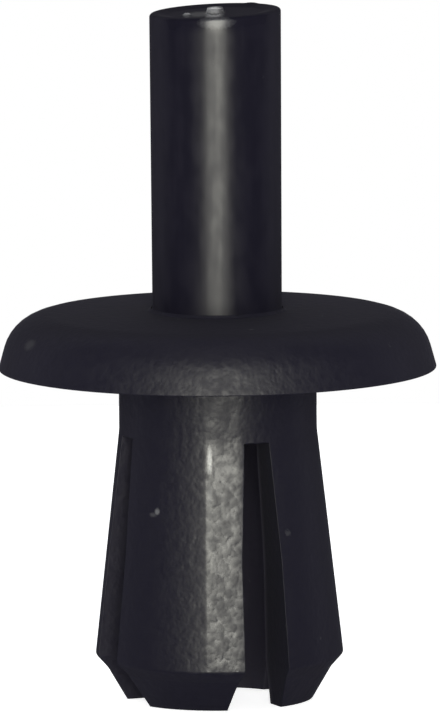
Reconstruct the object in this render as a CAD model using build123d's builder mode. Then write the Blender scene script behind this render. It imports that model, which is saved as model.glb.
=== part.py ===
from build123d import *
import math
import os

# Plastic push rivet for a round hole in a panel, in millimetres.
# The body is one moulding: a domed head, a short neck that fills the hole, and four legs that flare out
# below it. The legs close up as they pass the hole and spring open again behind it. A separate drive pin
# stands proud of the head. Pushed home, it fills the bore and keeps the legs from closing.
# +Z runs up the axis towards the pin's free end, and Z = 0 is the seat of the head on the panel.

# Head
head_diameter = 18.0         # across the sharp foot of the rim, before it is rounded
head_thickness = 2.36        # seat to crown, beside the bore
crown_fall = 0.14            # how much lower the crown would be where it meets the rim
shoulder_radius = 1.9        # large rounding between the crown and the rim
rim_draft = 16.0             # degrees that the rim leans inwards
rim_foot_radius = 0.12
seat_width = 1.7             # flat ring that presses on the panel
relief_depth = 0.3           # how far the underside rises from the seat ring to the neck
bore_mouth_bevel = 0.12

# Shank
neck_diameter = 8.1
neck_length = 2.5            # seat to the start of the flare
neck_root_bevel = 0.15
shank_length = 13.65         # seat to the leg tips
barb_overhang = 1.03         # how far the legs' widest part stands out beyond the neck
barb_radius = 0.4
step_length = 0.53           # steep step under the barb
step_angle = 42.0            # degrees from the axis
tip_length = 1.37            # lead-in cone below the step
tip_angle = 30.4             # degrees from the axis
tip_edge_radius = 0.12

# Slots between the legs
slot_count = 4
slot_turn = 23.0             # degrees from +X to the first slot
slot_roof_depth = 2.65       # seat to the closed end of each slot
slot_roof_width = 1.08
slot_spread_length = 4.8     # length over which a slot widens below its roof
slot_leg_width = 1.9         # width between the legs, down to the barb
slot_tip_width = 2.38        # width at the leg tips

# Drive pin
pin_diameter = 5.38          # at the free end
pin_draft = 0.19             # degrees of taper, each side
pin_proud = 12.35            # height above the crown before it is driven
pin_end_radius = 0.2
pin_trim_angle = 2.3         # the free end is trimmed slightly out of square
pin_nose_length = 0.7
pin_nose_angle = 30.0        # degrees from the axis
pin_recess = 0.2             # the driven pin stops this far inside the leg tips
pin_clearance = 0.04         # radial gap round the pin's thick end in the bore

cut_margin = 1.0             # how far a cutting tool runs past the material

# Derived sizes
head_radius = head_diameter / 2
neck_radius = neck_diameter / 2
bore_radius = pin_diameter / 2 + pin_clearance
barb_depth = shank_length - tip_length - step_length
step_depth = shank_length - tip_length
widest_radius = neck_radius + barb_overhang
step_radius = widest_radius - step_length * math.tan(math.radians(step_angle))
tip_radius = step_radius - tip_length * math.tan(math.radians(tip_angle))

# The crown, if it weren't rounded, would meet the leaning rim at this corner
corner_height = head_thickness - crown_fall
corner_radius = head_radius - corner_height * math.tan(math.radians(rim_draft))

# The shoulder's rounding can't be longer than the rim leaves room for, above the rounded foot
rim_length = corner_height / math.cos(math.radians(rim_draft))
foot_run = rim_foot_radius / math.tan(math.radians(90 - rim_draft) / 2)
shoulder_limit = 0.95 * (rim_length - foot_run) * math.tan(math.radians(90 + rim_draft) / 2)
shoulder = min(shoulder_radius, shoulder_limit)

pin_end_height = head_thickness + pin_proud
pin_length = head_thickness + shank_length - pin_recess
pin_nose_height = pin_end_height - pin_length


def pin_radius_at(height):
    """Radius of the drafted pin at a height, in its undriven place."""
    return pin_diameter / 2 - (pin_end_height - height) * math.tan(math.radians(pin_draft))


# Rivet body: a section turned about the axis, then slotted into legs
with BuildPart() as rivet_body:
    with BuildSketch(Plane.XZ) as body_section:
        with BuildLine():
            crown = TangentArc(
                (bore_radius, head_thickness),
                (corner_radius, corner_height),
                tangent=(1, 0),
            )
            Polyline(
                (corner_radius, corner_height),
                (head_radius, 0),
                (head_radius - seat_width, 0),
                (neck_radius, relief_depth),
                (neck_radius, -neck_length),
                (widest_radius, -barb_depth),
                (step_radius, -step_depth),
                (tip_radius, -shank_length),
                (bore_radius, -shank_length),
                (bore_radius, head_thickness),
            )
        make_face()
        rounded_corners = [
            (shoulder, (corner_radius, corner_height)),
            (rim_foot_radius, (head_radius, 0)),
            (barb_radius, (widest_radius, -barb_depth)),
            (tip_edge_radius, (tip_radius, -shank_length)),
        ]
        for radius, corner in rounded_corners:
            fillet(body_section.vertices().sort_by_distance(corner)[0], radius=radius)
        bevelled_corners = [
            (neck_root_bevel, (neck_radius, relief_depth)),
            (bore_mouth_bevel, (bore_radius, head_thickness)),
        ]
        for length, corner in bevelled_corners:
            chamfer(body_section.vertices().sort_by_distance(corner)[0], length=length)
    revolve(axis=Axis.Z)

    # Each slot is drawn across its own leg gap and cut outwards from the axis
    for slot in range(slot_count):
        turn = math.radians(slot_turn + slot * 360 / slot_count)
        slot_plane = Plane(
            origin=(0, 0, 0),
            x_dir=(-math.sin(turn), math.cos(turn), 0),
            z_dir=(math.cos(turn), math.sin(turn), 0),
        )
        with BuildSketch(slot_plane):
            with BuildLine():
                Polyline(
                    (0, -slot_roof_depth),
                    (slot_roof_width / 2, -slot_roof_depth),
                    (slot_leg_width / 2, -slot_roof_depth - slot_spread_length),
                    (slot_leg_width / 2, -barb_depth),
                    (slot_tip_width / 2, -shank_length),
                    (slot_tip_width / 2, -shank_length - cut_margin),
                    (0, -shank_length - cut_margin),
                )
                mirror(about=Plane.YZ)
            make_face()
        extrude(amount=widest_radius + cut_margin, mode=Mode.SUBTRACT)

# Drive pin: drafted, with a blunt cone on the nose and a free end trimmed a little out of square
with BuildPart() as drive_pin:
    blank_height = pin_end_height + cut_margin
    nose_top = pin_nose_height + pin_nose_length
    nose_radius = pin_radius_at(nose_top) - pin_nose_length * math.tan(math.radians(pin_nose_angle))
    with BuildSketch(Plane.XZ):
        with BuildLine():
            Polyline(
                (0, pin_nose_height),
                (nose_radius, pin_nose_height),
                (pin_radius_at(nose_top), nose_top),
                (pin_radius_at(blank_height), blank_height),
                (0, blank_height),
                close=True,
            )
        make_face()
    revolve(axis=Axis.Z)
    trim = math.radians(pin_trim_angle)
    split(
        bisect_by=Plane(origin=(0, 0, pin_end_height), z_dir=(-math.sin(trim), 0, math.cos(trim))),
        keep=Keep.BOTTOM,
    )
    fillet(drive_pin.edges().sort_by(Axis.Z)[-1], radius=pin_end_radius)

os.makedirs("parts", exist_ok=True)
rivet_body.part.label = "rivet_body"
drive_pin.part.label = "drive_pin"
export_step(rivet_body.part, "parts/rivet_body.step")
export_step(drive_pin.part, "parts/drive_pin.step")
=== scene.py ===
# %% [markdown]
# # A plastic push rivet
#
# The rivet has two mouldings. The body has a domed head, a short neck and four legs that flare out.
# The drive pin stands in its bore and is pushed home once the legs have sprung open behind a panel.
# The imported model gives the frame: its bodies, its nodes and its box. Its plain solids could be shown as
# they are, but moulded edges, grain and tool marks are finer than that. So two surfaces, worked out here
# as formulas, take the place of the two solids and ride on the same bodies.

# %% Load the frame
import math
import bmesh
import bpy
import numpy as np
from mathutils import Matrix, Vector


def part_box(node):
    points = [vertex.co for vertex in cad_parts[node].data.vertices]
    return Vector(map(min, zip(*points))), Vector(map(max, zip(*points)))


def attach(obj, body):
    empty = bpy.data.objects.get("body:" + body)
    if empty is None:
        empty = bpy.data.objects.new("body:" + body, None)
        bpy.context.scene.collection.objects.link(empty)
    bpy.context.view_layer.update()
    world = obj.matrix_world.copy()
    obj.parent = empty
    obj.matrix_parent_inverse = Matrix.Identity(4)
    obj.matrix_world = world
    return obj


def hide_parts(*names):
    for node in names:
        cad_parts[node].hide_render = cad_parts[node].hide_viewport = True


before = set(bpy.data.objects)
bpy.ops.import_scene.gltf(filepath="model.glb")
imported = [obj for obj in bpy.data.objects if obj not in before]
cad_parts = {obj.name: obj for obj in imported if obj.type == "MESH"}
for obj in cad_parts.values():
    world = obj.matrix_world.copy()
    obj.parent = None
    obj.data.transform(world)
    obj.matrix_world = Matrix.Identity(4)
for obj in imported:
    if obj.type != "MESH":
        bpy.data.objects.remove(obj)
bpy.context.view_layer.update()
MM = 0.001                                   # the shapes below are written in millimetres
print("CAD nodes:", sorted(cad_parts))

# %% [markdown]
# ## The camera
#
# The rivet is seen from the front and a little above, so that the top of its head shows as a thin ellipse.
# A long lens from most of a metre away keeps the sides of the pin almost parallel. A constraint could aim
# the camera, but it would keep the view level. A matrix made of the camera's own right, up and backward
# directions also takes a slight roll, and leaves nothing live in the scene. The lens follows from the scale
# that is wanted: so many pixels for a metre's width, seen from a metre away.

# %% Place the camera
image_height = 714                           # pixels; the longer side is the one that the lens fits
focal_pixels = 19547                         # for a metre's width, seen from a metre away
sensor_size = 36                             # millimetres
camera_distance = 0.8                        # metres
camera_elevation = 7.548                     # degrees above the horizontal, from the -Y side
camera_roll = -0.41                          # degrees
aim = Vector((0.1029, 0.0, 0.4337)) * MM     # the point in the middle of the view

rise = math.radians(camera_elevation)
roll = math.radians(camera_roll)
eye = Vector((0, -camera_distance * math.cos(rise), camera_distance * math.sin(rise)))
forward = (aim - eye).normalized()
level_right = forward.cross(Vector((0, 0, 1))).normalized()
level_up = level_right.cross(forward)
right = math.cos(roll) * level_right + math.sin(roll) * level_up
up = -math.sin(roll) * level_right + math.cos(roll) * level_up

camera_data = bpy.data.cameras.new("camera")
camera_data.sensor_width = sensor_size
camera_data.lens = focal_pixels * sensor_size / image_height
camera_data.clip_start = 0.01
camera_data.clip_end = 5
camera = bpy.data.objects.new("camera", camera_data)
turn = Matrix((right, up, -forward)).transposed()
camera.matrix_world = Matrix.Translation(eye) @ turn.to_4x4()
bpy.context.scene.collection.objects.link(camera)
bpy.context.scene.camera = camera
print("camera at", [round(c, 4) for c in eye], "lens", round(camera_data.lens, 1), "mm")

# %% [markdown]
# ## Shapes as whole arrays
#
# Both mouldings are mostly turned: a line of radius and height, carried round the axis. Such a shape could
# be made with a Screw modifier, and slotted with booleans, but a boolean leaves ragged faces along each cut
# and they show as dents under a soft light. Here the line starts as a few sharp corners, each with its own
# rounding, and is cut into short steps. Every later formula then works on whole arrays of points, and a
# mesh is made from several grids of them, whose shared edges are merged.

# %% Lines with rounded corners
def rounded_line(corners, arc_steps=8):
    """A line through corners (radius, height, rounding), with each inner corner made an arc.
    An arc's centre lies on the corner's bisector, at rounding / sin(half angle) from the corner. Measured
    from there, the arc is (start sin((1 - s) sweep) + end sin(s sweep)) / sin(sweep), for s from 0 to 1."""
    table = np.array(corners, float)
    point, rounding = table[:, :2], table[1:-1, 2:3]
    before = point[:-2] - point[1:-1]
    after = point[2:] - point[1:-1]
    before /= np.linalg.norm(before, axis=1, keepdims=True)
    after /= np.linalg.norm(after, axis=1, keepdims=True)
    half = np.arccos(np.clip((before * after).sum(1, keepdims=True), -1, 1)) / 2
    middle = before + after
    middle /= np.linalg.norm(middle, axis=1, keepdims=True)
    centre = point[1:-1] + middle * rounding / np.sin(half)
    start = point[1:-1] + before * rounding / np.tan(half) - centre
    end = point[1:-1] + after * rounding / np.tan(half) - centre
    sweep = (np.pi - 2 * half)[:, None, :]
    share = np.linspace(0, 1, arc_steps + 1)[None, :, None]
    arc = np.sin((1 - share) * sweep) * start[:, None] + np.sin(share * sweep) * end[:, None]
    arc = centre[:, None] + arc / np.sin(sweep)
    return np.vstack([point[:1], arc.reshape(-1, 2), point[-1:]])


def stepped(line, step):
    """The same line without repeated points and with no span longer than step.
    Each span is cut into equal shares: point = start + (end - start) share."""
    shortest = 1e-5
    span = np.linalg.norm(np.diff(line, axis=0), axis=1)
    line = line[np.append(span > shortest, True)]
    span = span[span > shortest]
    cuts = np.ceil(span / step).astype(int)
    first = np.repeat(np.arange(len(span)), cuts)
    share = (np.arange(cuts.sum()) - np.repeat(np.cumsum(cuts) - cuts, cuts)) / cuts[first]
    inner = line[first] + (line[first + 1] - line[first]) * share[:, None]
    return np.vstack([inner, line[-1:]])


corner_sample = stepped(rounded_line([(0, 0, 0), (1, 0, 0.5), (1, 1, 0)]), 0.1)
print("a corner with sides of 1 mm and a rounding of 0.5 mm takes", len(corner_sample), "points")


# %% Meshes from grids
def turned(radius, height, angle):
    """Points at radius r and height, carried round the Z axis by angle a: x = r cos a, y = r sin a."""
    radius, height, angle = np.broadcast_arrays(radius, height, angle)
    return np.stack([radius * np.cos(angle), radius * np.sin(angle), height], axis=-1)


def grid_mesh(name, grids, attributes=()):
    """One object from grids of points in millimetres, each shaped (rows, columns, 3).
    Cell (i, j) joins rows i and i + 1 and columns j and j + 1. Points that two grids share are merged, and
    the closed shell's faces are then all turned outwards. attributes holds (label, domain, values), with
    one array of values for each grid: a value for every point for POINT, or for every cell for FACE."""
    merge_distance = 2e-7                    # metres
    points = np.vstack([g.reshape(-1, 3) for g in grids]) * MM
    sizes = np.array([g.shape[0] * g.shape[1] for g in grids])
    offsets = np.cumsum(sizes) - sizes
    quads = []
    for grid, offset in zip(grids, offsets):
        rows, columns = grid.shape[:2]
        corner = offset + np.arange(rows * columns).reshape(rows, columns)
        cell = [corner[:-1, :-1], corner[:-1, 1:], corner[1:, 1:], corner[1:, :-1]]
        quads.append(np.stack(cell, axis=-1).reshape(-1, 4))
    mesh = bpy.data.meshes.new(name)
    mesh.from_pydata(points.tolist(), [], np.vstack(quads).tolist())
    for label, domain, values in attributes:
        layer = mesh.attributes.new(label, "FLOAT", domain)
        layer.data.foreach_set("value", np.concatenate([v.ravel() for v in values]))
    shell = bmesh.new()
    shell.from_mesh(mesh)
    bmesh.ops.remove_doubles(shell, verts=shell.verts, dist=merge_distance)
    bmesh.ops.recalc_face_normals(shell, faces=shell.faces)
    open_edges = sum(not e.is_manifold for e in shell.edges)
    shell.to_mesh(mesh)
    shell.free()
    mesh.polygons.foreach_set("use_smooth", np.ones(len(mesh.polygons), bool))
    piece = bpy.data.objects.new(name, mesh)
    bpy.context.scene.collection.objects.link(piece)
    print(f"{name}: {len(mesh.vertices)} points, {len(mesh.polygons)} faces, {open_edges} open edges")
    return piece


# %% [markdown]
# ## The rivet body
#
# On the real rivet this is one moulding. A turned line gives the head, the neck and the flared shank, and
# four slots part the shank into legs. The slots have parallel sides, so a leg's edge on a surface of radius
# r lies at the angle asin(w / r) from the slot's middle, where w is half the slot's width at that depth.
# Because every grid of the body uses that one rule, their edges meet exactly and merge into one shell.
# One leg could be copied four times, but the legs differ a little, so each is worked out in its turn.

# %% Driving sizes of the body
head_thickness = 2.36
seat_inner_radius = 7.3
relief_height = 0.3
bore_radius = 2.73
neck_radius = 4.05
neck_length = 2.5
widest_radius = 5.08
barb_height = -11.75
tip_radius = 3.799
tip_height = -13.645
leg_count = 4
slot_middles = np.radians([23.0, 113.0, 203.0, 293.0])
front_leg = 2                                # leg 0 comes after the slot at 23 degrees
quarter_turn = math.pi / 2
roof_height = -2.65                          # the closed end of each slot
slot_depths = [tip_height, barb_height, -7.45, roof_height]
slot_half_widths = [1.19, 0.965, 0.87, 0.54]
leg_columns = 40
slot_columns = 8
crease_crowding = 1.6                        # draws a leg's columns together where its land begins

flare = (widest_radius - neck_radius) / (-barb_height - neck_length)
roof_radius = neck_radius + flare * (-roof_height - neck_length)
print("the shank's radius at the slots' roof is", round(roof_radius, 3), "mm")

# %% Turned lines of the body
lip_radius = 2.697                           # a thin lip of flash stands round the bore's mouth
lip_top = head_thickness + 0.12
crown_rounding = 9
rim_foot_radius = 8.971
upper_step, leg_step = 0.15, 0.22            # no span of these lines is longer
# each corner is (radius, height, rounding)
bore_mouth = [
    (bore_radius, roof_height, 0),
    (bore_radius, 2.1, 0.3),
    (lip_radius, head_thickness + 0.02, 0.1),
    (lip_radius, lip_top, 0.008),
    (2.725, lip_top, 0.012),
    (2.80, head_thickness, 0.12),
]
crown_and_rim = [
    (3.2, head_thickness, 0),
    (5.0, 2.338, crown_rounding),
    (6.8, 2.286, crown_rounding),
    (8.363, 2.22, 1.9),
    (rim_foot_radius, 0.0, 0.04),
]
seat_and_neck = [
    (seat_inner_radius, 0.0, 0.06),
    (neck_radius, relief_height, 0.15),
    (neck_radius, -neck_length, 2.4),
    (roof_radius, roof_height, 0),
]
leg_outside = [
    (roof_radius, roof_height, 0),
    (widest_radius, barb_height, 0.2),
    (4.603, -12.28, 0.1),
    (tip_radius, tip_height, 0.12),
    (bore_radius, tip_height, 0),
]
upper_line = stepped(rounded_line(bore_mouth + crown_and_rim + seat_and_neck), upper_step)
leg_line = stepped(rounded_line(leg_outside), leg_step)
# the flat tip is a grid of its own, so the leg's line stops where it first gets there
leg_line = leg_line[:np.argmin(leg_line[:, 1]) + 1]
head_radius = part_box("rivet_body")[1].x / MM
print("rows in the upper line", len(upper_line), "and down a leg", len(leg_line))
print("head radius", round(upper_line[:, 0].max(), 3), "mm, and in the frame", round(head_radius, 3), "mm")


# %% [markdown]
# ## The flat lands
#
# Two opposite legs each have a narrow flat, a land, beside one of their slots. It is burnished bright and
# runs from the head down to the barb. It could be cut with a boolean, but it is only a few hundredths of a
# millimetre deep, so the points themselves are lowered. A flat that lies h from the axis is reached at the
# radius h / cos a, where a is the angle from the land's middle. Where the round leg is lower than that, it
# stays as it is, and a soft minimum rounds the crease between the two.

# %% Driving sizes of the lands
land_middle = math.radians(273.1)            # on the front leg
land_softening = 0.025                       # the flat and the round leg blend where they are this near
land_inner_radius = 3.9                      # no land further in than this, so none in the bore
land_depth_heights = [-3.4, -2.5, -0.1, 0.1]
land_depth_shares = [1, 0.55, 0.45, 0]       # full depth on the flare, half of it on the neck, none above
land_end_length = 0.15                       # below the barb it runs out over this length
land_shine_heights = [-2.55, -2.2, -0.5]
land_shine_shares = [1, 0.65, 0.15]          # the burnish fades up the neck
land_shine_columns = [leg_columns / 2 - 2, leg_columns / 2, leg_columns - 5, leg_columns]
land_shine_across = [0, 1, 1, 0.35]          # it starts at the crease and fades towards the slot
edge_rounds = 6                              # how often the lowered edge is fitted to its slot again


def land_half_width(radius):
    """Half the width of a land: 0.49 + 0.054 r. It opens as the leg flares, so its edge runs straight."""
    return 0.49 + 0.054 * radius


print("land width at the neck", round(2 * land_half_width(neck_radius), 2), "mm, at the barb",
      round(2 * land_half_width(widest_radius), 2), "mm")


# %% Angles of the columns
def slot_half_width(height):
    """Half the width of a slot at a height: straight lines between the measured depths."""
    return np.interp(height, slot_depths, slot_half_widths)


def land_centre(leg):
    """The angle of a land's middle. Only legs 0 and 2 have one, half a turn apart."""
    return land_middle + (leg - front_leg) * quarter_turn


def leg_angles(leg, radius, height):
    """Angles across one leg, a row for each radius and height, from slot edge to slot edge.
    The columns fall in two equal groups, which meet where the land begins, at asin(land half width / r)
    before its middle. The first group crowds towards that crease: share = 1 - (1 - u) ^ crowding."""
    lean = np.arcsin(slot_half_width(height) / radius)
    first = slot_middles[leg] + lean
    last = slot_middles[leg] + quarter_turn - lean
    if leg % 2 == 0:
        middle = land_centre(leg) - np.arcsin(land_half_width(radius) / radius)
    else:
        middle = (first + last) / 2
    half = leg_columns // 2
    share = 1 - np.linspace(1, 0, half + 1) ** crease_crowding
    first_group = first[:, None] + (middle - first)[:, None] * share
    last_group = middle[:, None] + (last - middle)[:, None] * np.linspace(0, 1, half + 1)[1:]
    return np.hstack([first_group, last_group])


def slot_angles(slot, radius, height):
    """Angles across a slot's own columns: asin(w v / r) for v from -1 to 1."""
    across = np.linspace(-1, 1, slot_columns + 1)
    lean = np.arcsin(slot_half_width(height) / radius)
    return slot_middles[slot] + lean[:, None] * across


barb_row = leg_angles(front_leg, np.array([widest_radius]), np.array([barb_height]))
print("the front leg spans", round(math.degrees(np.ptp(barb_row)), 1), "degrees at the barb")


# %% Lower a leg to its land
def cut_land(leg, radius, height, angle):
    """Lower one leg's surface to its land: the soft minimum of the flat's chord and the leg's own radius r.
    That is min(chord, r) - softening near ^ 2 / 4, where near = 1 - |chord - r| / softening, or 0 if less.
    Lowering an edge moves where the slot's side meets it, so the two settle in a few rounds.
    Gives the lowered radius, the angles, and how brightly each point is burnished."""
    full_radius = np.repeat(radius[:, None], angle.shape[1], axis=1)
    if leg % 2:
        return full_radius, angle, np.zeros(angle.shape)
    depth_share = np.interp(height, land_depth_heights, land_depth_shares)
    start = np.where(radius > land_inner_radius, depth_share, 0)[:, None]
    stop = np.clip((height - barb_height) / land_end_length + 1, 0, 1)[:, None]
    flat = np.sqrt(radius ** 2 - land_half_width(radius) ** 2)[:, None]
    for _ in range(edge_rounds):
        chord = flat / np.cos(angle - land_centre(leg))
        near = np.clip(1 - np.abs(chord - full_radius) / land_softening, 0, 1)
        level = np.minimum(chord, full_radius) - near ** 2 * land_softening / 4
        shell_radius = full_radius + (level - full_radius) * start * stop
        edge_lean = np.arcsin(slot_half_width(height) / shell_radius[:, -1])
        angle[:, -1] = slot_middles[leg] + quarter_turn - edge_lean
    up_the_land = np.interp(height, land_shine_heights, land_shine_shares)[:, None]
    across_it = np.interp(np.arange(angle.shape[1]), land_shine_columns, land_shine_across)
    return shell_radius, angle, start * stop * up_the_land * across_it


land_row = cut_land(front_leg, np.array([widest_radius]), np.array([barb_height]), barb_row)[0]
print("the land is", round(widest_radius - land_row.min(), 3), "mm deep at the barb")

# %% [markdown]
# ## The body's grids
#
# The shell is made leg by leg. Each leg has an outer wall, a tip, an inner wall on the bore and two faces
# on its slots. Above the slots' roofs the head and neck close the ring, with a strip of columns over each
# slot. A single skin with a Solidify modifier would be quicker, but a leg's wall isn't equally thick. Two
# values are kept for the material: how burnished a point is, and which slot faces get painted light and which
# get painted shade. The second is kept by face, because a value on shared points would smear round the sharp
# edge of a leg.

# %% Faces on the slots
wall_share = np.array([0, 0.08, 0.2, 0.4, 0.6, 0.8, 0.92, 1.0])   # closer together at both edges
outer_radius, outer_height = leg_line.T


def through_the_wall(edge):
    """Radii from a leg's outer edge to the bore: edge + (bore - edge) share, a row for each edge."""
    return edge[:, None] + (bore_radius - edge[:, None]) * wall_share


def slot_face(leg, side, edge):
    """A leg's face on the slot before it, with side 1, or on the slot after it, with side -1.
    From the leg's outer edge inwards, each point is asin(w / r) from the slot's middle."""
    radius = through_the_wall(edge)
    lean = np.arcsin(slot_half_width(outer_height)[:, None] / radius)
    middle = slot_middles[leg] + (0 if side > 0 else quarter_turn)
    return turned(radius, outer_height[:, None], middle + side * lean)


sample = slot_face(0, 1, outer_radius)
print("a slot face has", sample.shape[0], "rows and", sample.shape[1], "columns")

# %% Grids of the body
lit_slot_face, shaded_slot_face = 1.0, -1.0             # painted light on the faces of one pair of opposite slots, painted shade on the other pair
grids = []
burnish_of = {}                              # by the number of a grid: its burnish, or its slot face's painted light or shade
slot_shading_of = {}
roof, tip = through_the_wall(outer_radius[[0, -1]])
inner = np.full(len(outer_height), bore_radius)
for leg in range(leg_count):
    # head and neck, over the leg and over the slot
    radius, height = upper_line.T
    shell_radius, angle, burnish = cut_land(leg, radius, height, leg_angles(leg, radius, height))
    burnish_of[len(grids)] = burnish
    grids.append(turned(shell_radius, height[:, None], angle))
    grids.append(turned(radius[:, None], height[:, None], slot_angles(leg, radius, height)))
    # outer wall of the leg, with its land
    angle = leg_angles(leg, outer_radius, outer_height)
    shell_radius, angle, burnish = cut_land(leg, outer_radius, outer_height, angle)
    burnish_of[len(grids)] = burnish
    grids.append(turned(shell_radius, outer_height[:, None], angle))
    # tip, inner wall, and the roof of the slot
    grids.append(turned(tip[:, None], tip_height, leg_angles(leg, tip, np.full(len(tip), tip_height))))
    grids.append(turned(bore_radius, outer_height[:, None], leg_angles(leg, inner, outer_height)))
    grids.append(turned(roof[:, None], roof_height, slot_angles(leg, roof, np.full(len(roof), roof_height))))
    # the leg's faces on the slot before it and on the slot after it
    for slot, side, column in ((leg, 1, 0), (leg + 1, -1, -1)):
        # the slots at 23 and 203 degrees get painted light on their faces, those at 113 and 293 get painted
        # shade
        slot_shading_of[len(grids)] = lit_slot_face if slot % 2 == 0 else shaded_slot_face
        grids.append(slot_face(leg, side, shell_radius[:, column]))
print(len(grids), "grids with", sum(g.shape[0] * g.shape[1] for g in grids), "points before they merge")

# %% [markdown]
# ## The dip in the barb
#
# A leg bends a little in use, and here the front of the barb's edge has crept down. A lattice could bend
# it, but one formula is enough: points near the barb drop, the most at the front, and less and less above
# it, below it and towards the sides.

# %% Dip the barb and make the body
barb_dip = 0.18
barb_dip_reach = 0.6
for grid in grids:
    # z - dip front ^ 2 exp(-((z - barb) / reach) ^ 2), where front is -y / r, never below 0
    front = np.clip(-grid[..., 1] / np.hypot(grid[..., 0], grid[..., 1]), 0, 1)
    grid[..., 2] -= barb_dip * front ** 2 * np.exp(-((grid[..., 2] - barb_height) / barb_dip_reach) ** 2)

burnish = [burnish_of.get(i, np.zeros(g.shape[:2])) for i, g in enumerate(grids)]
# the slot faces' painted light (1) or painted shade (-1), one value for each face
finish_and_painted_light = [np.full((g.shape[0] - 1, g.shape[1] - 1), slot_shading_of.get(i, 0.0)) for i, g in enumerate(grids)]
rivet = grid_mesh("moulded_body", grids, [("mark", "POINT", burnish), ("finish_and_painted_light", "FACE", finish_and_painted_light)])

# %% [markdown]
# ## Moulded edges
#
# No moulded edge is perfectly sharp. The grids meet in sharp edges, which could be drawn round from the
# start, with rows of points of their own. A Bevel modifier does the same afterwards: it rounds them by a
# fortieth of a millimetre, so that they catch a thin line of light, and it leaves the smooth faces alone,
# because it only takes edges that turn by more than its angle limit.

# %% Round the edges and give the body its place
edge_bevel = rivet.modifiers.new("moulded_edges", "BEVEL")
edge_bevel.width = 0.025 * MM
edge_bevel.segments = 3
edge_bevel.limit_method = "ANGLE"
edge_bevel.angle_limit = math.radians(40)
edge_bevel.use_clamp_overlap = False
edge_bevel.harden_normals = True
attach(rivet, "rivet_body")
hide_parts("rivet_body")
print("the body's edges are rounded by", round(edge_bevel.width / MM, 3), "mm")

# %% [markdown]
# ## The drive pin
#
# The pin is a drafted rod with a blunt nose. A thin ring of flash goes round it where it enters the body.
# Its free end is dished and was trimmed a little out of square, and the stub of the gate, through which the
# plastic came, still stands in the dish. It could be sculpted, but one turned line holds nearly all of it,
# and three formulas then move points of that surface. They draw the stub towards a square, because a gate
# breaks off square, raise the end by x tan(trim), and add two low nibs.

# %% The pin's line
pin_end_height = 14.704
pin_end_radius = 2.69
pin_nose_height = -1.1
dish_depth = 0.09
dish_height = pin_end_height - dish_depth
stub_half_width = 0.36
stub_top = 14.785
ring_radius = 2.670
ring_bottom = head_thickness + 0.02
ring_top = ring_bottom + 0.08
pin_step = 0.1                               # no span of the line is longer
pin_columns = 144
pin_line = stepped(rounded_line([
    (0.0, pin_nose_height, 0),
    (2.233, pin_nose_height, 0.1),
    (2.64, pin_nose_height + 0.7, 0.25),
    (2.648, ring_bottom - 0.04, 0.02),
    (ring_radius, ring_bottom, 0.02),
    (ring_radius, ring_top, 0.02),
    (2.6495, ring_top + 0.04, 0.02),
    (pin_end_radius, pin_end_height, 0.14),
    (2.4, pin_end_height, 0.25),
    (1.9, dish_height, 0.5),
    (stub_half_width, dish_height, 0.02),
    (stub_half_width - 0.04, stub_top, 0.02),
    (0.0, stub_top, 0),
]), pin_step)
print("rows in the pin's line", len(pin_line))

# %% Turn the pin and square its stub
end_zone = 10                                # above this height a small radius means the end, not the nose
squaring_start, squaring_length = 1.8, 1.4   # the stub's square shape fades out over these radii
stub_stretch, stub_shift = 0.6, 0.25         # it is longer towards the back, and off centre
around = np.linspace(0, 2 * math.pi, pin_columns + 1)
pin_radius, pin_height = pin_line[:, :1], pin_line[:, 1:]
# a rounded square of half width 1: (|cos a| ^ 5 + |sin a| ^ 5) ^ (-1 / 5)
boxy = (np.abs(np.cos(around)) ** 5 + np.abs(np.sin(around)) ** 5) ** -0.2
squared = np.clip((squaring_start - pin_radius) / squaring_length, 0, 1) * (pin_height > end_zone)
pin_points = turned(pin_radius * (1 + (boxy - 1) * squared), pin_height, around[None, :])
pin_points[..., 1] += (stub_stretch * pin_points[..., 1] + stub_shift) * squared
print("the stub is", round(2 * stub_half_width, 2), "mm wide")

# %% Trim the end and add its nibs
pin_trim = math.tan(math.radians(2.3))
trim_start, trim_length = 12.5, 2.0          # the slope grows from nothing over this length
nib_zone = 14.5                              # only points above this height are raised into a nib
nibs = [(-1.15, -0.5, 0.17, 0.1), (1.45, 1.95, 0.28, 0.035)]      # x, y, radius and height
at_the_end = np.clip((pin_height - trim_start) / trim_length, 0, 1)
pin_points[..., 2] += pin_points[..., 0] * pin_trim * at_the_end
for nib_x, nib_y, nib_radius, nib_height in nibs:
    # a low bump with a flat top: height exp(-(distance / radius) ^ 4)
    off = np.hypot(pin_points[..., 0] - nib_x, pin_points[..., 1] - nib_y) / nib_radius
    pin_points[..., 2] += nib_height * np.exp(-off ** 4) * (pin_height > nib_zone)
pin = grid_mesh("moulded_pin", [pin_points])
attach(pin, "drive_pin")
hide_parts("drive_pin")
print("the pin's end rises by", round(2 * pin_end_radius * pin_trim, 3), "mm from side to side")

# %% [markdown]
# ## One plastic, two finishes
#
# Both mouldings are the same black plastic with little gloss. What differs is what the tools left on it:
# the body has a fine mould grain, and the pin has long streaks from being drawn out of its mould. An image
# could hold such marks, but noise that reads the object's own coordinates needs no picture and no seams,
# and it stays sharp from any distance. Each kind of mark is a node group that is built once. It puts out
# only masks and heights, and the shader that turns them into looks stays in the material.

# %% Node groups
VECTOR, NUMBER = "NodeSocketVector", "NodeSocketFloat"


def new_group(name, inputs, outputs):
    """A shader node group with named sockets: (label, kind) for each going in and each coming out."""
    group = bpy.data.node_groups.new(name, "ShaderNodeTree")
    for label, kind in inputs:
        group.interface.new_socket(label, in_out="INPUT", socket_type=kind)
    for label, kind in outputs:
        group.interface.new_socket(label, in_out="OUTPUT", socket_type=kind)
    return group, group.nodes.new("NodeGroupInput"), group.nodes.new("NodeGroupOutput")


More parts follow.
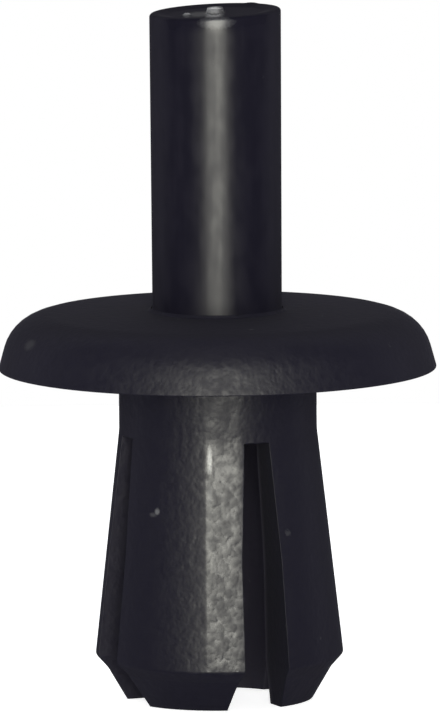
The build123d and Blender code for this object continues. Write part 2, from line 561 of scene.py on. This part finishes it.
def use_group(tree, group, place, **values):
    """A group's outputs, with place as its Vector and values for its other inputs."""
    node = tree.nodes.new("ShaderNodeGroup")
    node.node_tree = group
    tree.links.new(place, node.inputs["Vector"])
    for label, value in values.items():
        node.inputs[label].default_value = value
    return node.outputs


print("a group's sockets are of the kinds", VECTOR, "and", NUMBER)


# %% Sums on sockets
def remap(tree, source, low, high, to_low=0.0, to_high=1.0, smooth=False):
    """source, taken from the range low..high to to_low..to_high, and never outside it:
    to_low + (to_high - to_low) (source - low) / (high - low). smooth eases both ends of that slope."""
    node = tree.nodes.new("ShaderNodeMapRange")
    if smooth:
        node.interpolation_type = "SMOOTHSTEP"
    for label, value in (("From Min", low), ("From Max", high), ("To Min", to_low), ("To Max", to_high)):
        node.inputs[label].default_value = value
    tree.links.new(source, node.inputs["Value"])
    return node.outputs["Result"]


def combine(tree, operation, first, second):
    """A Math node on two sockets, or on a socket and a number."""
    node = tree.nodes.new("ShaderNodeMath")
    node.operation = operation
    for socket, value in zip(node.inputs, (first, second)):
        if isinstance(value, (int, float)):
            socket.default_value = value
        else:
            tree.links.new(value, socket)
    return node.outputs["Value"]


def combine_vectors(tree, operation, first, second=None):
    """A Vector Math node on sockets or triples of numbers. LENGTH takes one vector and gives a number."""
    node = tree.nodes.new("ShaderNodeVectorMath")
    node.operation = operation
    for socket, value in zip(node.inputs, (first, second)):
        if isinstance(value, tuple):
            socket.default_value = value
        elif value is not None:
            tree.links.new(value, socket)
    return node.outputs["Value" if operation == "LENGTH" else "Vector"]


print("nodes for sums: Map Range, Math and Vector Math")

# %% Noise
NOISE_RANGE = (0.3, 0.7)                     # nearly all of a noise's values lie between these


def noise_on(group, place, scale, detail=2.0):
    """A noise read at place. scale is in grains to the metre, or a triple of that for X, Y and Z."""
    noise = group.nodes.new("ShaderNodeTexNoise")
    noise.inputs["Detail"].default_value = detail
    noise.inputs["Scale"].default_value = 1.0 if isinstance(scale, tuple) else scale
    if isinstance(scale, tuple):
        place = combine_vectors(group, "MULTIPLY", place, scale)
    group.links.new(place, noise.inputs["Vector"])
    return noise.outputs["Fac"]


def fray(group, place, scale, depth):
    """A noise from -depth to depth. Added to a distance, it frays the edge of a mask."""
    return remap(group, noise_on(group, place, scale), *NOISE_RANGE, -depth, depth)


print("a noise is taken from", NOISE_RANGE, "to the range that is wanted")


# %% Mould grain and drawn streaks
def two_noises(name, fine_scale, fine_share, coarse_scale, broad_scale=None):
    """A group that reads noises at its Vector input. Height is fine * fine_share + coarse. Blotch is the mean
    of the coarse noise and a broad one, each spread to 0..1. Without broad_scale the fine one is used."""
    group, start, end = new_group(name, [("Vector", VECTOR)], [("Height", NUMBER), ("Blotch", NUMBER)])
    place = start.outputs["Vector"]
    fine = noise_on(group, place, fine_scale)
    coarse = noise_on(group, place, coarse_scale, detail=1.0)
    broad = fine if broad_scale is None else noise_on(group, place, broad_scale)
    height = combine(group, "ADD", combine(group, "MULTIPLY", fine, fine_share), coarse)
    blotch = combine(group, "ADD", remap(group, coarse, *NOISE_RANGE), remap(group, broad, *NOISE_RANGE))
    group.links.new(height, end.inputs["Height"])
    group.links.new(combine(group, "MULTIPLY", blotch, 0.5), end.inputs["Blotch"])
    print(name, "has", len(group.nodes), "nodes")
    return group


# grains of about a quarter of a millimetre, with a finer tooth on them and broad blotches
grain_group = two_noises(
    "mould_grain", fine_scale=7000, fine_share=0.22, coarse_scale=(3600, 3600, 3200), broad_scale=1800)
# streaks that are thin across and 7 mm long, with short beads along them
streak_group = two_noises(
    "drawn_streaks", fine_scale=(2600, 2600, 150), fine_share=0.8, coarse_scale=(1900, 1900, 1000))

# %% [markdown]
# ## Specks and worn spots
#
# Handling leaves pale specks of dust, small scuffs and rubbed places. Specks are scattered by a Voronoi
# texture: each of its cells has a random colour, and only a few of the cells get a speck, of a size that
# the same colour sets. A worn spot is a soft ellipsoid round a chosen place, and the same spots also lay
# painted highlights where a glint should be. Both could be painted into an image, but a mask worked out from
# a distance stays with the piece and costs nothing. A noise frays their edges.

# %% Scuffs
scuff_group, start, end = new_group("scuffs", [("Vector", VECTOR)], [("Mask", NUMBER)])
speck_cells = 700                            # to the metre
bare_share = 0.8                             # of the cells have no speck
largest_speck = 0.12                         # its radius, in cells
speck_edge, speck_strength = 0.06, 0.09
place = start.outputs["Vector"]
# size - (distance + fray) is above 0 inside a speck and fades out over its edge
cells = scuff_group.nodes.new("ShaderNodeTexVoronoi")
cells.inputs["Scale"].default_value = speck_cells
scuff_group.links.new(place, cells.inputs["Vector"])
random_colour = scuff_group.nodes.new("ShaderNodeSeparateColor")
scuff_group.links.new(cells.outputs["Color"], random_colour.inputs["Color"])
speck_size = remap(scuff_group, random_colour.outputs[0], bare_share, 1.0, 0.0, largest_speck)
ragged = fray(scuff_group, place, scale=9000, depth=0.05)
distance = combine(scuff_group, "ADD", cells.outputs["Distance"], ragged)
inside = combine(scuff_group, "SUBTRACT", speck_size, distance)
scuff_group.links.new(remap(scuff_group, inside, 0.0, speck_edge, 0.0, speck_strength), end.inputs["Mask"])
print("largest speck", round(2 * largest_speck / speck_cells / MM, 2), "mm across")

# %% Worn spots, which also lay painted highlights
spot_group, start, end = new_group(
    "spot", [("Vector", VECTOR), ("Centre", VECTOR), ("Stretch", VECTOR)], [("Mask", NUMBER)])
spot_full, spot_edge = 0.4, 1.0              # in shares of the spot's half sizes
place = start.outputs["Vector"]
# the distance from the centre, measured in half sizes: |(place - centre) stretch| + fray
offset = combine_vectors(spot_group, "SUBTRACT", place, start.outputs["Centre"])
offset = combine_vectors(spot_group, "MULTIPLY", offset, start.outputs["Stretch"])
distance = combine_vectors(spot_group, "LENGTH", offset)
distance = combine(spot_group, "ADD", distance, fray(spot_group, place, scale=8000, depth=0.1))
spot_group.links.new(remap(spot_group, distance, spot_edge, spot_full), end.inputs["Mask"])
print("a spot fades between", spot_full, "and", spot_edge, "of its half sizes")


# %% Several spots, and blending by a mask
def spots(tree, place, places):
    """The strongest of several spots' masks. Each is (centre in mm, half sizes in mm, strength)."""
    strongest = None
    for centre, half_sizes, strength in places:
        middle = [c * MM for c in centre]
        stretch = [1 / (h * MM) for h in half_sizes]
        mask = use_group(tree, spot_group, place, Centre=middle, Stretch=stretch)["Mask"]
        mask = combine(tree, "MULTIPLY", mask, strength)
        strongest = mask if strongest is None else combine(tree, "MAXIMUM", strongest, mask)
    return strongest


def blend(tree, mask, first, second):
    """first where mask is 0 and second where it is 1: first + (second - first) mask.
    Each is a number, a colour or a socket, and one colour makes it a blend of colours."""
    node = tree.nodes.new("ShaderNodeMix")
    if isinstance(first, tuple) or isinstance(second, tuple):
        node.data_type = "RGBA"
    tree.links.new(mask, node.inputs["Factor"])
    for label, value in (("A", first), ("B", second)):
        if isinstance(value, tuple):
            node.inputs[label].default_value = (*value, 1)
        elif isinstance(value, float):
            node.inputs[label].default_value = value
        else:
            tree.links.new(value, node.inputs[label])
    return node.outputs["Result"]


print("groups:", sorted(g.name for g in bpy.data.node_groups))

# %% [markdown]
# ## The black plastic itself
#
# Black plastic has almost no colour, so what the eye reads is roughness: grain breaks up each highlight,
# burnished parts are bright, and a surface seen edge-on turns matt. One roughness for all would be simpler,
# but the piece would look painted. So the roughness is built up in layers, each laid over the last through
# its own mask, and the colour in the same way. The gloss level is the same all over, so it is set on the
# shader's own socket, where an export can read it.

# %% Layers of roughness
BLOTCH_RANGE = (0.2, 0.8)                    # nearly all of a Blotch's values lie between these
turning_matt = (0.3, 0.75)                   # Facing is 0 where a surface looks at the eye, 1 at its outline
at_the_outline = (0.9, 1.0)
matt_roughness, outline_roughness = 1.0, 0.75
polished_roughness = 0.14


def layered_roughness(tree, place, grain, base, finish_and_painted_light, polished):
    """Roughness in four layers: the grain's blotches, the finish, the matt look edge-on, polished spots."""
    rough = remap(tree, grain["Blotch"], *BLOTCH_RANGE, *base)
    rough = blend(tree, finish_and_painted_light["burnished"], rough, finish_and_painted_light["roughness"])
    view = tree.nodes.new("ShaderNodeLayerWeight")
    view.inputs["Blend"].default_value = 0.5
    facing = view.outputs["Facing"]
    edge_on = remap(tree, facing, *at_the_outline, matt_roughness, outline_roughness)
    rough = blend(tree, remap(tree, facing, *turning_matt, smooth=True), rough, edge_on)
    return blend(tree, spots(tree, place, polished), rough, polished_roughness)


print("edge-on the roughness goes to", matt_roughness, "and in polished spots to", polished_roughness)

# %% Layers of colour
mottle_and_painted_light_colour = (0.035, 0.032, 0.046)          # painted light in the bore and on one pair of slot faces; on the pin a faint random mottle
painted_shade_colour = (0.0048, 0.0044, 0.0105)       # painted shade on the faces of one pair of slots
# pale dust and scuffs, and painted highlights on the land's crease and on the pin's end
dust_and_highlight_colour = (0.3, 0.3, 0.3)


def layered_colour(tree, place, colour, finish_and_painted_light, wear_and_highlights):
    """Colour in layers: the plastic, its painted light and painted shade (a random mottle on the pin), then
    dust, wear and painted highlights.
    """
    # painted light in the bore and on one pair of slot faces, or a random mottle on the pin
    tint = blend(tree, finish_and_painted_light["pale"], colour, mottle_and_painted_light_colour)
    # painted shade on the faces of one pair of slots
    if "dark" in finish_and_painted_light:
        tint = blend(tree, finish_and_painted_light["dark"], tint, painted_shade_colour)
    dust_and_highlight = combine(tree, "MAXIMUM", use_group(tree, scuff_group, place)["Mask"], spots(tree, place, wear_and_highlights))
    return blend(tree, dust_and_highlight, tint, dust_and_highlight_colour)


print("colours: pale", mottle_and_painted_light_colour, "dark", painted_shade_colour, "dust_and_highlight", dust_and_highlight_colour)


# %% Black moulded plastic
def plastic(name, colour, roughness, specular, texture, depth, finish_and_painted_light, wear_and_highlights, polished):
    """Black plastic with low gloss. roughness is a pair, for the smoothest and the roughest blotch. texture
    is the group that gives the marks and depth their height in mm. finish_and_painted_light is a function
    that gives the masks of what is burnished, what is pale and what is dark, and the burnished parts'
    roughness;
    on the body, pale and dark are painted light and painted shade. wear_and_highlights lists worn spots and
    painted highlights."""
    material = bpy.data.materials.new(name)
    material.use_nodes = True
    tree = material.node_tree
    shader = tree.nodes["Principled BSDF"]
    shader.distribution = "GGX"
    shader.inputs["Specular IOR Level"].default_value = specular
    place = tree.nodes.new("ShaderNodeTexCoord").outputs["Object"]
    grain = use_group(tree, texture, place)
    parts = finish_and_painted_light(tree, place, grain)
    rough = layered_roughness(tree, place, grain, roughness, parts, polished)
    tree.links.new(rough, shader.inputs["Roughness"])
    tree.links.new(layered_colour(tree, place, colour, parts, wear_and_highlights), shader.inputs["Base Color"])
    bump = tree.nodes.new("ShaderNodeBump")
    bump.inputs["Strength"].default_value = 1
    bump.inputs["Distance"].default_value = depth * MM
    tree.links.new(grain["Height"], bump.inputs["Height"])
    tree.links.new(bump.outputs["Normal"], shader.inputs["Normal"])
    print(name, "has", len(tree.nodes), "nodes")
    return material


# %% [markdown]
# ## Finish of the body
#
# The lands are burnished, so they take a lower roughness of their own. The bore gets painted light: a paler
# colour that stands in for the light that reaches into it. The faces of one pair of slots get painted shade,
# and those of the other pair a little painted light. Each of these could have a material of its own, but then
# the grain would break where they meet. So one material reads the values that the mesh keeps, and finds the
# bore by its distance from the axis.

# %% Where the body is burnished, or gets painted light or painted shade
bore_fade = (2.75 * MM, 3.1 * MM)            # from the axis: full painted light, and none
neck_fade = (-2 * MM, -1 * MM)               # in height
land_roughness = (0.28, 0.44)
lit_face_share = 0.3                        # of the bore's painted light, given to the faces of the other pair of slots


def piece_value(tree, label):
    """A value that the mesh keeps under that label."""
    node = tree.nodes.new("ShaderNodeAttribute")
    node.attribute_name = label
    return node.outputs["Fac"]


def height_of(tree, place):
    """Z of a place, in metres."""
    split = tree.nodes.new("ShaderNodeSeparateXYZ")
    tree.links.new(place, split.inputs["Vector"])
    return split.outputs["Z"]


def body_finish(tree, place, grain):
    """Burnished by the mesh's mark. Painted light in the bore, where sqrt(x ^ 2 + y ^ 2) is close to its
    radius, below the neck. The slot faces get painted light or painted shade by the mesh's
    finish_and_painted_light value, from 1 to -1."""
    from_axis = combine_vectors(tree, "LENGTH", combine_vectors(tree, "MULTIPLY", place, (1, 1, 0)))
    below = remap(tree, height_of(tree, place), *neck_fade, 1.0, 0.0)
    bore = combine(tree, "MULTIPLY", remap(tree, from_axis, *bore_fade, 1.0, 0.0), below)
    face = piece_value(tree, "finish_and_painted_light")
    # painted shade on the faces of one pair of slots, kept out of the bore
    dark = combine(tree, "SUBTRACT", remap(tree, face, 0.0, shaded_slot_face), bore)
    return {
        "burnished": piece_value(tree, "mark"),
        "roughness": remap(tree, grain["Blotch"], *BLOTCH_RANGE, *land_roughness),
        # painted light in the bore, and a share of it on the faces of one pair of slots
        "pale": combine(tree, "MAXIMUM", bore, remap(tree, face, 0.0, lit_slot_face, 0.0, lit_face_share)),
        "dark": combine(tree, "MAXIMUM", dark, 0.0),
    }


print("the bore's pale finish ends", round(bore_fade[1] / MM - bore_radius, 2), "mm outside the bore")

# %% Make the body's plastic
body_wear_and_highlights = [                                # centre, half sizes and strength
    ((-2.505, -3.59, -5.44), (0.15, 0.15, 0.17), 0.37),       # a scuff on the front leg, and its tail
    ((-2.64, -3.46, -5.58), (0.24, 0.22, 0.12), 0.12),
    ((-7.61, -3.59, 1.45), (0.5, 0.5, 0.28), 0.066),          # a rub on the rim
    ((-0.35, -4.1, -3.3), (0.13, 0.6, 0.7), 0.6),             # painted highlights along the crease of the land, from its top down
    ((-0.36, -4.25, -4.7), (0.14, 0.6, 0.7), 0.22),
    ((-0.38, -4.45, -6.3), (0.17, 0.6, 2.6), 0.1),
]
body_polished = [((-0.35, -4.1, -3.3), (0.14, 0.6, 0.75), 1.0)]
body_plastic = plastic(
    "body_plastic", colour=(0.0086, 0.0079, 0.0148), roughness=(0.46, 0.58), specular=0.03,
    texture=grain_group, depth=0.028, finish_and_painted_light=body_finish, wear_and_highlights=body_wear_and_highlights, polished=body_polished)
rivet.data.materials.append(body_plastic)

# %% [markdown]
# ## Finish of the pin
#
# The pin's side is smoother than the body, and streaked along its length. Its trimmed end is smoother
# still, and so it carries the brightest marks, each a lower roughness with a painted highlight on it: the
# torn top of the gate's stub, the nib beside it and the trail that the trimming blade left towards the front.
# One plain gloss on the end would lose them.

# %% Make the pin's plastic
end_fade = (13.9 * MM, 14.5 * MM)            # in height
end_roughness = (0.2, 0.26)
mottle_share = 0.06


def pin_finish(tree, place, grain):
    """Smooth on the trimmed end, found by its height, with a faint pale mottle from the streaks all over."""
    return {
        "burnished": remap(tree, height_of(tree, place), *end_fade, smooth=True),
        "roughness": remap(tree, grain["Blotch"], *BLOTCH_RANGE, *end_roughness),
        "pale": remap(tree, grain["Blotch"], *NOISE_RANGE, 0.0, mottle_share),
    }


pin_wear_and_highlights = [
    ((-0.05, 0.0, 14.7), (0.5, 0.6, 0.2), 1.0),               # a painted highlight on the torn top of the stub
    ((-0.05, -0.9, 14.6), (0.45, 1.6, 0.2), 0.5),             # painted highlights along the blade's trail, and where it left the edge
    ((0.05, -2.6, 14.5), (0.8, 0.6, 0.3), 0.25),
    ((-1.15, -0.5, 14.65), (0.22, 0.25, 0.2), 1.0),           # painted highlights on the nib, and on the plastic round it
    ((-0.6, -0.3, 14.6), (0.8, 1.2, 0.2), 0.2),
    ((1.9, -1.6, 12.2), (0.12, 0.3, 0.2), 0.11),              # a fleck on the side
]
pin_polished = [
    ((-0.02, -0.05, 14.66), (0.5, 1.9, 0.42), 1.0),
    ((-1.155, -0.5, 14.6), (0.2, 1.5, 0.5), 0.6),
]
pin_plastic = plastic(
    "pin_plastic", colour=(0.0072, 0.0066, 0.0122), roughness=(0.315, 0.425), specular=0.022,
    texture=streak_group, depth=0.003, finish_and_painted_light=pin_finish, wear_and_highlights=pin_wear_and_highlights, polished=pin_polished)
pin.data.materials.append(pin_plastic)

# %% [markdown]
# ## The floor and the background
#
# The rivet stands on a pale floor in front of a white background. A white that comes from lamps would also
# pour light on the plastic. So the floor and the world give off light of their own, but only along rays that
# come from the camera or from a reflection, and the lamps can be set for the plastic alone. The rest of the
# world's light is a dim, slightly cool one that keeps hollows from turning quite black.

# %% Floor
floor_radius = 0.09                          # metres
floor_gap = 0.00001                          # a hundredth of a millimetre below the tips
floor_rim_points = 128
floor_mesh = bpy.data.meshes.new("floor")
floor_height = tip_height * MM - floor_gap
floor_rim = turned(floor_radius, floor_height, np.linspace(0, 2 * math.pi, floor_rim_points + 1)[:-1])
floor_mesh.from_pydata(floor_rim.tolist(), [], [tuple(range(floor_rim_points))])
floor = bpy.data.objects.new("floor", floor_mesh)
bpy.context.scene.collection.objects.link(floor)
print("floor at", round(floor_height / MM, 3), "mm")


# %% The floor's material
def seen_directly(tree):
    """1 for rays from the camera and for rays that a shiny or clear surface sends on, otherwise 0."""
    path = tree.nodes.new("ShaderNodeLightPath").outputs
    shiny = combine(tree, "MAXIMUM", path["Is Camera Ray"], path["Is Glossy Ray"])
    return combine(tree, "MAXIMUM", shiny, path["Is Transmission Ray"])


floor_glow = 0.8
floor_material = bpy.data.materials.new("pale_floor")
floor_material.use_nodes = True
tree = floor_material.node_tree
matt = tree.nodes["Principled BSDF"]
matt.inputs["Base Color"].default_value = (0.8, 0.8, 0.8, 1)
matt.inputs["Roughness"].default_value = 0.9
matt.inputs["Specular IOR Level"].default_value = 0.1
matt.inputs["Emission Color"].default_value = (1, 1, 1, 1)
glow = combine(tree, "MULTIPLY", seen_directly(tree), floor_glow)
tree.links.new(glow, matt.inputs["Emission Strength"])
floor_mesh.materials.append(floor_material)
print("the floor gives off", floor_glow, "along camera rays and reflections")

# %% World
ambient_colour, ambient_strength = (0.9, 0.95, 1.0), 0.3
world = bpy.data.worlds.new("studio")
bpy.context.scene.world = world
world.use_nodes = True
tree = world.node_tree
ambient = tree.nodes["Background"]
ambient.inputs["Color"].default_value = (*ambient_colour, 1)
ambient.inputs["Strength"].default_value = ambient_strength
white = tree.nodes.new("ShaderNodeBackground")
white.inputs["Color"].default_value = (1, 1, 1, 1)
white.inputs["Strength"].default_value = 1.0
choice = tree.nodes.new("ShaderNodeMixShader")
tree.links.new(seen_directly(tree), choice.inputs["Fac"])
tree.links.new(ambient.outputs["Background"], choice.inputs[1])
tree.links.new(white.outputs["Background"], choice.inputs[2])
tree.links.new(choice.outputs["Shader"], tree.nodes["World Output"].inputs["Surface"])
print("the world gives", ambient_strength, "to the plastic and 1 to the camera")

# %% [markdown]
# ## The lights
#
# Real softboxes light a black piece in two ways: they brighten its colour a little, and they show in it as
# highlights. Here the two jobs are parted, because Blender lets a lamp skip either. Three softboxes in front
# and above do both. Three fills at the sides and behind light the colour alone, so that the piece can be
# read from any side without another highlight. Three panels show as highlights alone, and they are far
# stronger, because plastic with so little gloss sends back only a small share.


# %% Soft lights
def soft_light(name, direction, elevation, distance, size, flux, colour=(1, 1, 1)):
    """A rectangle of light that faces the rivet. For the angles a and e it stands at distance times
    (cos a cos e, sin a cos e, sin e). flux is what a square metre facing it gets at the rivet, so the lamp's
    power is flux pi distance ^ 2."""
    data = bpy.data.lights.new(name, "AREA")
    data.shape = "RECTANGLE"
    data.size, data.size_y = size
    data.energy = flux * math.pi * distance ** 2
    data.color = colour
    lamp = bpy.data.objects.new(name, data)
    a, e = math.radians(direction), math.radians(elevation)
    place = Vector((math.cos(a) * math.cos(e), math.sin(a) * math.cos(e), math.sin(e))) * distance
    lamp.matrix_world = Matrix.Translation(place) @ place.to_track_quat("Z", "Y").to_matrix().to_4x4()
    lamp.visible_camera = False
    bpy.context.scene.collection.objects.link(lamp)
    print(f"{name}: {data.energy:.1f} W")
    return lamp


lamp_distance = 1.2
camera_side = 270.5                          # the direction of -Y, a hair to its right
softboxes = [                                # name, direction, elevation, width and height, flux
    ("front_softbox", camera_side, 1.5, (0.6, 0.66), 2.6),
    ("upper_softbox", camera_side, 25, (0.5, 0.3), 0.4),
    ("overhead_softbox", 270, 88, (0.9, 0.9), 0.2),
]
for name, direction, elevation, size, flux in softboxes:
    soft_light(name, direction, elevation, lamp_distance, size, flux)

# %% Fills, which light the colour alone
fill_elevation, fill_size = 2, (0.8, 0.8)
fills = [("left_fill", 155, 1.7), ("rear_fill", 90, 5.0), ("right_fill", 25, 1.3)]
for name, direction, flux in fills:
    fill = soft_light(name, direction, fill_elevation, lamp_distance, fill_size, flux)
    fill.visible_glossy = False

# %% Panels, which show as highlights alone
panel_distance = 1.21                        # just behind the softboxes
warm = (1.0, 0.99, 0.86)
panels = [                                   # name, elevation, width and height, flux
    ("front_panel", 1.5, (0.6, 0.66), 43),
    ("upper_panel", 25, (0.5, 0.3), 6.4),
    ("top_panel", 88, (0.3, 0.3), 1.0),
]
for name, elevation, size, flux in panels:
    panel = soft_light(name, camera_side, elevation, panel_distance, size, flux, warm)
    panel.visible_diffuse = False

# %% [markdown]
# ## The last steps
#
# The Standard view transform shows each colour about as it is written.

# %% View
bpy.context.scene.view_settings.view_transform = "Standard"
